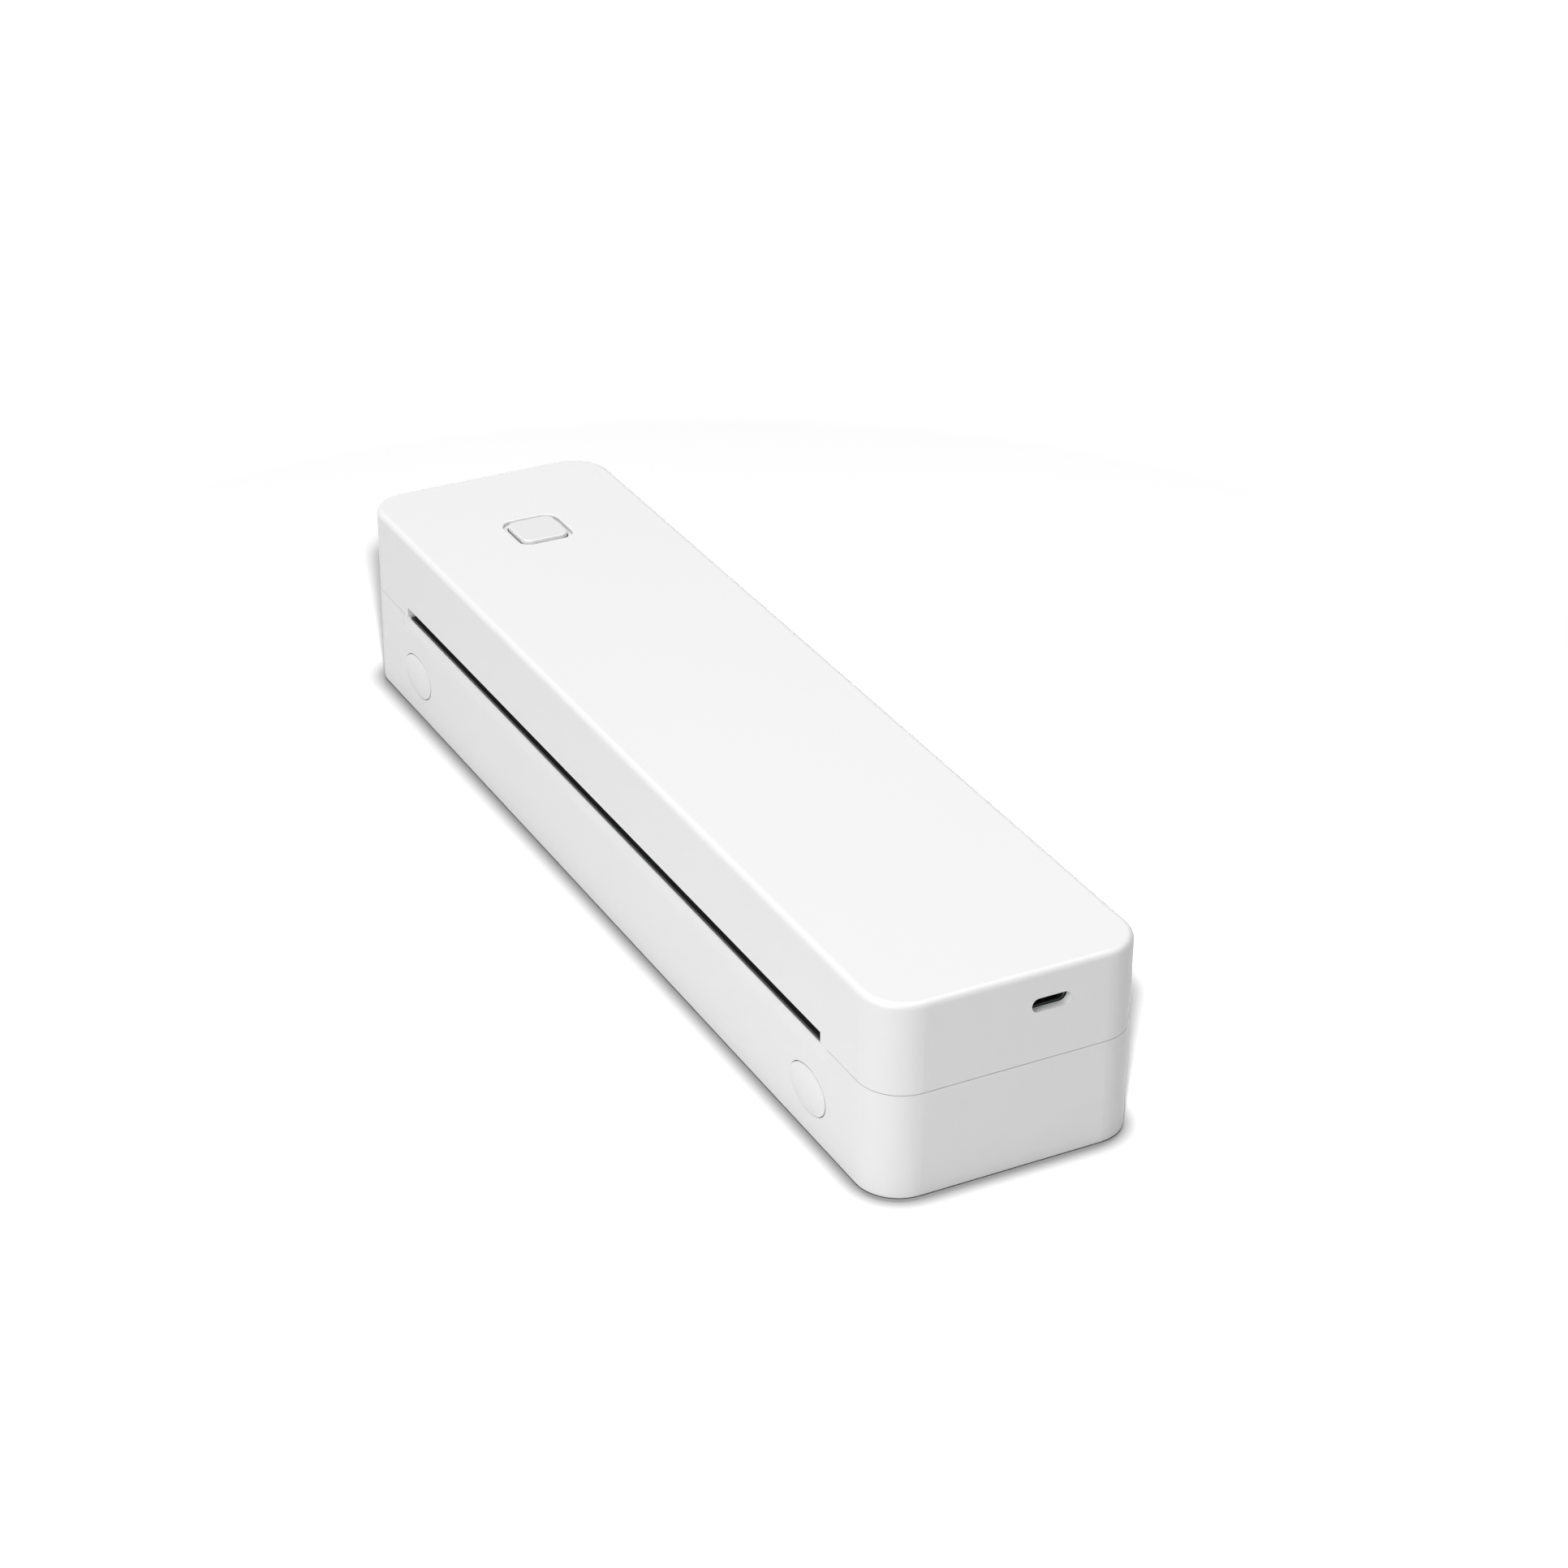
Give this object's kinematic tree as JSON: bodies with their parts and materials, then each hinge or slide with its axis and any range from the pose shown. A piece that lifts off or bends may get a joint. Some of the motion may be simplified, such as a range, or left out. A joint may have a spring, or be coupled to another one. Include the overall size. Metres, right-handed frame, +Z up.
{
  "type": "portable thermal printer",
  "caption": "Slim portable printer for A4 sheets: hinged top housing with power button and port, front slot, rear sheet inlet, two-sided cover release.",
  "frame": {"origin": "middle of the footprint on the table, under the feet", "axes": "+X along the length towards the end with the port, -Y towards the paper slot, +Z up"},
  "size_m": [0.272, 0.0636, 0.0477],
  "materials": {
    "shell_plastic": "satin white moulded plastic",
    "power_plastic": "satin off-white plastic",
    "foot_rubber": "dull dark rubber",
    "guide_plastic": "black moulded plastic",
    "screw_steel": "zinc plated steel",
    "roller_rubber": "ground black rubber",
    "shaft_steel": "ground steel",
    "gear_plastic": "natural acetal",
    "pinion_brass": "machined brass",
    "bush_plastic": "dark bearing plastic",
    "bracket_steel": "bright sheet steel",
    "motor_steel": "drawn steel can",
    "cell_wrap": "blue shrink film",
    "contact_nickel": "nickel plated sheet",
    "spring_steel": "spring steel wire",
    "head_aluminium": "extruded aluminium",
    "head_ceramic": "glazed alumina",
    "board_green": "green solder mask",
    "chip_black": "black epoxy",
    "capacitor_can": "aluminium can",
    "port_metal": "nickel plated shell",
    "ribbon_film": "off-white film"
  },
  "bodies": {
    "base": {"lower_shell": "shell_plastic", "rubber_feet": "foot_rubber", "paper_deck": "guide_plastic", "deck_screws": "screw_steel", "platen_bushes": "bush_plastic", "idler_shaft": "shaft_steel", "motor_bracket": "bracket_steel", "motor_can": "motor_steel", "frame_screws": "screw_steel", "battery_cells": "cell_wrap", "battery_holder": "guide_plastic", "battery_contacts": "contact_nickel", "release_spring_right": "spring_steel", "release_spring_left": "spring_steel", "hinge_pins": "shaft_steel"},
    "feed_roller": {"platen_rubber": "roller_rubber", "platen_shaft": "shaft_steel", "platen_gear": "gear_plastic"},
    "idler": {"idler_gear": "gear_plastic"},
    "motor_rotor": {"motor_shaft": "shaft_steel", "motor_pinion": "pinion_brass"},
    "release_right": {"release_button_right": "shell_plastic"},
    "release_left": {"release_button_left": "shell_plastic"},
    "cover": {"upper_shell": "shell_plastic", "paper_guide": "guide_plastic", "guide_screws": "screw_steel", "head_bracket": "bracket_steel", "head_screws": "screw_steel", "head_springs": "spring_steel", "main_board": "board_green", "board_chips": "chip_black", "board_capacitors": "capacitor_can", "board_screws": "screw_steel", "usb_shell": "port_metal", "usb_tongue": "chip_black", "switch_body": "chip_black", "head_ribbons": "ribbon_film", "ribbon_sockets": "chip_black", "paper_sensor": "chip_black"},
    "print_head": {"head_heatsink": "head_aluminium", "head_strip": "head_ceramic", "head_pins": "shaft_steel"},
    "power_key": {"power_button": "power_plastic", "switch_plunger": "chip_black"}
  },
  "joints": [
    {"name": "cover_hinge", "type": "hinge", "parent": "base", "child": "cover", "pos_m": [0, 0.02895, 0.0258], "axis": [-1, 0, 0], "range_deg": [0, 80]},
    {"name": "feed_roller_spin", "type": "hinge", "parent": "base", "child": "feed_roller", "pos_m": [0, -0.0142, 0.0212], "axis": [1, 0, 0], "continuous": true},
    {"name": "idler_spin", "type": "hinge", "parent": "base", "child": "idler", "pos_m": [-0.118, -0.0032, 0.0164], "axis": [1, 0, 0], "continuous": true},
    {"name": "motor_spin", "type": "hinge", "parent": "base", "child": "motor_rotor", "pos_m": [-0.118, 0.00947, 0.0135], "axis": [1, 0, 0], "continuous": true},
    {"name": "release_right_press", "type": "slide", "parent": "base", "child": "release_right", "axis": [0, 1, 0], "range_m": [0, 0.0015], "stiffness_N_per_m": 400, "deforming": ["release_spring_right"]},
    {"name": "release_left_press", "type": "slide", "parent": "base", "child": "release_left", "axis": [0, 1, 0], "range_m": [0, 0.0015], "stiffness_N_per_m": 400, "deforming": ["release_spring_left"]},
    {"name": "print_head_float", "type": "slide", "parent": "cover", "child": "print_head", "axis": [0, 0, 1], "range_m": [0, 0.0006], "stiffness_N_per_m": 2000, "deforming": ["head_springs", "head_ribbons"]},
    {"name": "power_press", "type": "slide", "parent": "cover", "child": "power_key", "axis": [0, 0, -1], "range_m": [0, 0.0005], "stiffness_N_per_m": 500}
  ],
  "couplings": [
    {"joint": "idler_spin", "follows": "motor_spin", "ratio": -0.3},
    {"joint": "feed_roller_spin", "follows": "motor_spin", "ratio": 0.15}
  ]
}
